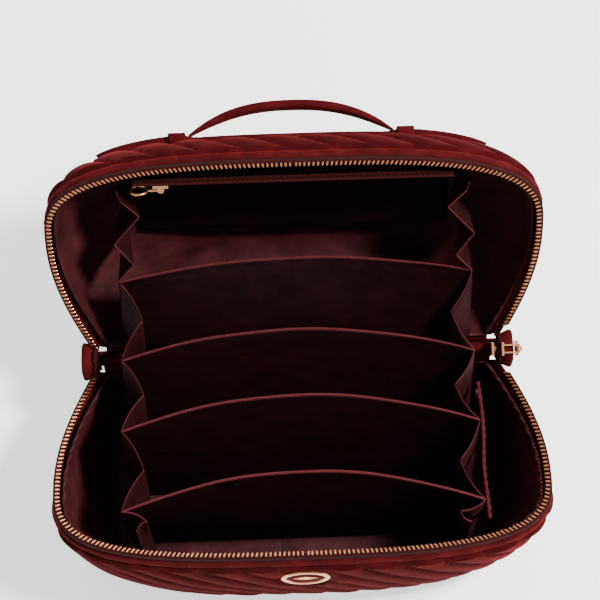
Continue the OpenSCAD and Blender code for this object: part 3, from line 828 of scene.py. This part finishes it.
def keeper(side, hand):
    """A cloth loop wrapped round the strap, with rounded shoulders and stitched edges."""
    half, top = (STRAP_W + 3.4) / 2 + 0.6, 6.2
    outline_pts = []
    for t in np.linspace(0, math.pi, 25):
        c, s = math.cos(t), math.sin(t)
        outline_pts.append((half * math.copysign(abs(c) ** 0.35, c), 0.3 + top * s ** 0.35))
    path = np.array(outline_pts)
    rings = []
    for y, z in path:
        inner = np.array([y * 0.87, 0.3 + (z - 0.3) * 0.80])
        ring = []
        for x, share in ((-5.0, 0.2), (-5.0, 0.8), (-4.3, 1.1), (-3.6, 0.98), (3.6, 0.98), (4.3, 1.1), (5.0, 0.8),
                         (5.0, 0.2), (4.4, 0.0), (-4.4, 0.0)):
            yz = inner + (np.array([y, z]) - inner) * share
            ring.append((x + side * KEEPER_X, yz[0], yz[1]))
        rings.append(ring)
    verts, faces = tube(on_shoulder(np.array(rings), side * KEEPER_X))
    make_piece("keeper_%s_cloth" % hand, verts, faces, VELVET_EDGE, "lid", ("keeper_" + hand,))


def arch(foot):
    """The carrying handle: a padded strap with a raised seam along each edge."""
    rings = []
    for x in np.linspace(-foot, foot, 160):
        u = abs(x) / foot
        z = 4.2 + ARCH_H * (1 - u ** 2.4)
        body = 1 - u ** 5
        w, t = 2 + 9 * body, 1.8 + 4.0 * body
        ring = []
        for a in turns(28):
            c, s = math.cos(a), math.sin(a)
            y = w / 2 * math.copysign(abs(c) ** 0.55, c)
            h = t / 2 * math.copysign(abs(s) ** 0.7, s)
            groove = 0.32 * body * math.exp(-((abs(y) - w * 0.36) / 0.55) ** 2)
            ring.append((x, y, z + h - math.copysign(groove, s)))
        rings.append(ring)
    verts, faces = tube(on_shoulder(np.array(rings)[::-1], foot))
    make_piece("handle_arch_cloth", verts, faces, VELVET_EDGE, "handle", ("handle_arch",))


# ---------------------------------------------------------------- small pieces

def spine():
    low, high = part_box("spine")
    rings = []
    for x in np.linspace(low.x, high.x, 260) / MM:
        r = 2.1 + 0.14 * math.sin(x * 1.9) + 0.08 * math.sin(x * 0.7)
        rings.append([(x, HINGE_Y + r * math.cos(t), HINGE_Z + r * math.sin(t))
                      for t in turns(18)])
    verts, faces = tube(np.array(rings))
    make_piece("spine_piping", verts, faces, VELVET_EDGE, "tub", ("spine",))


def back_seams():
    """The piped seams where the side walls meet the back."""
    for side in (-1, 1):
        rings = []
        for z in np.linspace(1.5, HINGE_Z - 5, 60):
            w = 1.2 + 0.08 * math.sin(z * 2.1)
            x = side * (117.6 - 1.0 * z / HINGE_Z)
            rings.append([(x + w * math.cos(t), HINGE_Y - 0.2 + w * math.sin(t), z)
                          for t in turns(12)])
        verts, faces = tube(np.array(rings))
        make_piece("back_seam_%s" % ("left" if side < 0 else "right"), verts, faces, VELVET_EDGE, "tub")


def end_tabs():
    """Folded velvet tabs that cover the zip's ends: a soft pad with a stitched groove near its edge."""
    profile = [(0.2, 112), (2.3, 112.5), (2.4, 121.3), (7.5, 121.5), (9.0, 123), (10.2, 125.6), (10.9, 127.3),
               (11.1, 128.6), (10.3, 129.7), (9.2, 129.9), (8.6, 129.45), (8.0, 130.0), (4, 130.5), (0.2, 130.6)]
    for side, hand in ((-1, "left"), (1, "right")):
        rings = []
        for r, x in profile:
            ring = []
            for t in turns(56):
                squarish = 1 / max(abs(math.cos(t)) ** 6 + abs(math.sin(t)) ** 6, 0.25) ** (1 / 6)
                rr = min(r * (0.93 * squarish if r > 5 else 1), r * 1.06)
                ring.append((side * x, HINGE_Y + rr * math.cos(t), HINGE_Z + rr * math.sin(t)))
            rings.append(ring if side > 0 else ring[::-1])
        verts, faces = tube(np.array(rings))
        make_piece("zip_end_tab_%s_cloth" % hand, verts, faces, VELVET_EDGE, "tub",
                   ("zip_end_tab_" + hand,))


def hinge_cloth():
    """The cover strip sewn over the back of the hinge."""
    down, back = -math.pi / 2, math.radians(90 - 13) - OPEN
    path = [(down, 12, 1.9), (down, 9, 1.5)]
    path += [(down + (back - down) * t, 4.6 + 0.6 * math.sin(math.pi * t), 1.0) for t in np.linspace(0, 1, 16)]
    path += [(back, 9, 1.5), (back, 13, 2.1)]
    xs = np.linspace(-122, 122, 200)
    grid = []
    for a, r, off in path:
        side = off if a < (down + back) / 2 else -off
        y = HINGE_Y + r * math.cos(a) + side * math.cos(a + math.pi / 2)
        z = HINGE_Z + r * math.sin(a) + side * math.sin(a + math.pi / 2)
        grid.append(np.stack([xs, np.full_like(xs, y) + 0.15 * np.sin(xs / 2.3), np.full_like(xs, z)], -1))
    grid = np.stack(grid, 1)
    n = normals(grid) * 0.35
    piece = slab("hinge_cover", grid + n, grid - n, VELVET_EDGE, None)
    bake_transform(piece)


def tape_ends():
    """The zip tapes' joined ends, which fold across the hinge line at each side of the mouth."""
    for side, hand in ((-1, "left"), (1, "right")):
        rings = []
        for a in np.linspace(math.pi - TILT + 0.10, math.pi - TILT - OPEN - 0.10, 60):
            wave = 0.25 * math.sin(a * 14)
            ring = []
            for r, x in ((4.1, 118.2), (10.5, 121.4), (10.7, 122.6), (4.3, 119.6)):
                ring.append((side * (x + wave), HINGE_Y + r * math.cos(a), HINGE_Z + r * math.sin(a)))
            rings.append(ring[::side])
        verts, faces = tube(np.array(rings))
        piece = make_piece("zip_tape_end_" + hand, verts, faces, TAPE, None)
        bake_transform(piece)


def elastic():
    low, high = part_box("elastic_strip")
    low, high = np.array(low) / MM, np.array(high) / MM
    ys = np.linspace(low[1], high[1], 170)
    rings = []
    for i, y in enumerate(ys):
        fluff = 0.35 * (i % 2) + 0.2 * math.sin(y * 1.3)
        mid_x = (low[0] + high[0]) / 2 + 0.6 * math.sin(y / 9)
        half, z0, z1 = (high[0] - low[0]) / 2 + fluff, low[2] - fluff, high[2] + fluff
        rings.append([(mid_x - half, y, z0), (mid_x + half, y, z0), (mid_x + half, y, z1), (mid_x - half, y, z1)])
    verts, faces = tube(np.array(rings))
    make_piece("elastic_ribbing", verts, faces, ELASTIC, "tub", ("elastic_strip",))


def pocket():
    """The zip pocket inside the lid: a lining panel with soft creases under a short zip."""
    x, t = np.meshgrid(np.linspace(-92, 92, 130), np.radians(np.linspace(14, 90, 60)), indexing="ij")
    grow = 0.7 * np.sin(x / 13 + 1.5 * np.sin(t * 5)) * np.sin(t * 2)
    front, deep = RIM_DEPTH - 15 - 62, 49

    def sheet(off):
        r = 62 + (front + grow + off) * np.abs(np.cos(t)) ** (2 / DOME_POW)
        d = (deep + grow + off) * np.sin(t) ** (2 / DOME_POW)
        return opened(mouth(x, r, d))
    # the pocket reuses the darkened satin, painted shade
    slab("lid_pocket_cloth", sheet(0.5), sheet(-0.5), SATIN_SHADED, "lid", ("lid_pocket",))
    parts = []
    r0 = RIM_DEPTH - 15 + 0.5
    for d0, d1 in ((1.5, 4.6), (5.4, 8.5)):
        corners = ((-1, d0), (1, d0), (1, d1), (-1, d1))
        rings = [[(xx, r0 + 0.4 * s + 0.12 * math.sin(xx * 2.2), d) for s, d in corners]
                 for xx in np.linspace(-92, 92, 260)]
        rings = np.array(rings)
        parts.append(tube(opened(mouth(rings[..., 0], rings[..., 1], rings[..., 2]))))
    verts, faces = joined(parts)
    make_piece("pocket_zip_tape", verts, faces, TAPE, "lid", ("pocket_zip",))
    parts = []
    for i, xx in enumerate(np.arange(-90, 90, 1.9)):
        d = 4.5 if i % 2 else 5.5
        corners = [(-0.5, -0.5), (0.5, -0.5), (0.5, 0.5), (-0.5, 0.5)]
        rings = np.array([[(xx + a, r0 + h, d + b * 1.5) for a, b in corners] for h in (-0.75, 0.6)])
        parts.append(tube(opened(mouth(rings[..., 0], rings[..., 1], rings[..., 2]))))
    verts, faces = joined(parts)
    make_piece("pocket_zip_teeth", verts, faces, ROSE_GOLD, "lid", (), False)


EMBLEM_H = 26.0     # along the wall, which the plaque's box does not give


def emblem():
    """A plain pointed oval: a raised metal rim round an inset of the bag's own cloth, with a small lozenge."""
    low, high = (np.array(c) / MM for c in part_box("emblem_plaque"))
    mid, w, h = (low + high) / 2, high[0] - low[0], EMBLEM_H
    radius = (w * w / h + h) / 4
    reach = math.asin(min(w / 2 / radius, 1))
    half = [(radius * math.sin(a), radius * math.cos(a) - (radius - h / 2)) for a in np.linspace(reach, -reach, 40)]
    outline_pts = np.array(half + [(-x, -z) for x, z in half[1:-1]])
    face = low[1]

    def ring(scale, y):
        return [(mid[0] + x * scale, y, mid[2] + z * scale) for x, z in outline_pts]

    rim_steps = ((0.80, 1.3), (0.80, 0.3), (0.84, 0.0), (0.95, 0.0), (1.0, 0.4), (1.0, 1.4))
    verts, faces = tube(np.array([ring(s, face + y) for s, y in rim_steps]))
    make_piece("emblem_rim", verts, faces[:-2], ROSE_GOLD, "tub", ("emblem_plaque",))
    inset_steps = ((0.81, 1.4), (0.81, 0.8), (0.4, 0.6))
    verts, faces = tube(np.array([ring(s, face + y) for s, y in inset_steps]))
    make_piece("emblem_inset", verts, faces, VELVET_EDGE, "tub")
    rings = [[(mid[0] + 7.5 * s * math.cos(t), face + y, mid[2] + 3.2 * s * math.sin(t)) for t in turns(4)]
             for s, y in ((1, 0.9), (1, 0.4), (0.6, 0.1))]
    verts, faces = tube(np.array(rings))
    make_piece("emblem_lozenge", verts, faces, ROSE_GOLD, "tub", (), False)


CARRIED = {"zip_slider": GOLD, "zip_pull": GOLD, "pocket_slider": GOLD, "pocket_pull": GOLD,
           "snap_button": BLACK, "base_board": TAPE}


def carried_over():
    for name, mat in CARRIED.items():
        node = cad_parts[name]
        node.data.materials.clear()
        node.data.materials.append(mat)


camera()
studio()
tub_walls()
lid_walls()
lid_top()
base()
zip_round_mouth()
linings()
dividers()
gussets()
handle()
spine()
end_tabs()
back_seams()
hinge_cloth()
tape_ends()
elastic()
pocket()
emblem()
carried_over()
